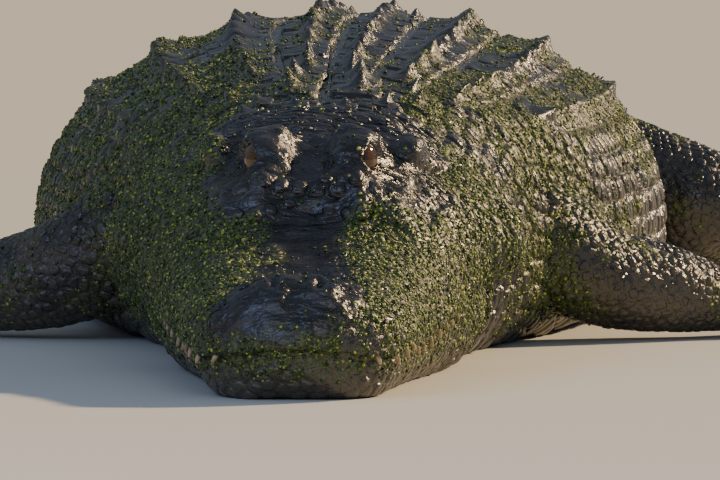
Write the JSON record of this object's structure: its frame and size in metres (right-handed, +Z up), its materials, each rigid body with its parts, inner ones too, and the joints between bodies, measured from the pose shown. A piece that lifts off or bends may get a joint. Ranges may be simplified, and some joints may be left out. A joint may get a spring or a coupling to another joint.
{
  "type": "american alligator",
  "caption": "Life-size still model of an adult American alligator lying on its belly, chin on the ground, legs spread and tail curved behind.",
  "frame": {"origin": "on the floor under the middle of the animal's bounding box", "axes": "+Z up, -Y towards the snout, +X to the animal's left"},
  "size_m": [1.0548, 3.4416, 0.2822],
  "materials": {
    "skin": "satin",
    "eye": "gloss",
    "claw": "satin"
  },
  "bodies": {
    "root": {"head": "skin", "lower_jaw": "skin", "eye_left": "eye", "ear_left": "skin", "eye_right": "eye", "ear_right": "skin", "neck": "skin", "torso": "skin", "tail_base": "skin", "tail_middle": "skin", "tail_tip": "skin", "upper_arm_left": "skin", "forearm_left": "skin", "hand_left": "skin", "thigh_left": "skin", "shank_left": "skin", "foot_left": "skin", "claw_hand_left_1": "claw", "claw_hand_left_2": "claw", "claw_hand_left_3": "claw", "claw_foot_left_1": "claw", "claw_foot_left_2": "claw", "claw_foot_left_3": "claw", "upper_arm_right": "skin", "forearm_right": "skin", "hand_right": "skin", "thigh_right": "skin", "shank_right": "skin", "foot_right": "skin", "claw_hand_right_1": "claw", "claw_hand_right_2": "claw", "claw_hand_right_3": "claw", "claw_foot_right_1": "claw", "claw_foot_right_2": "claw", "claw_foot_right_3": "claw"}
  },
  "joints": []
}
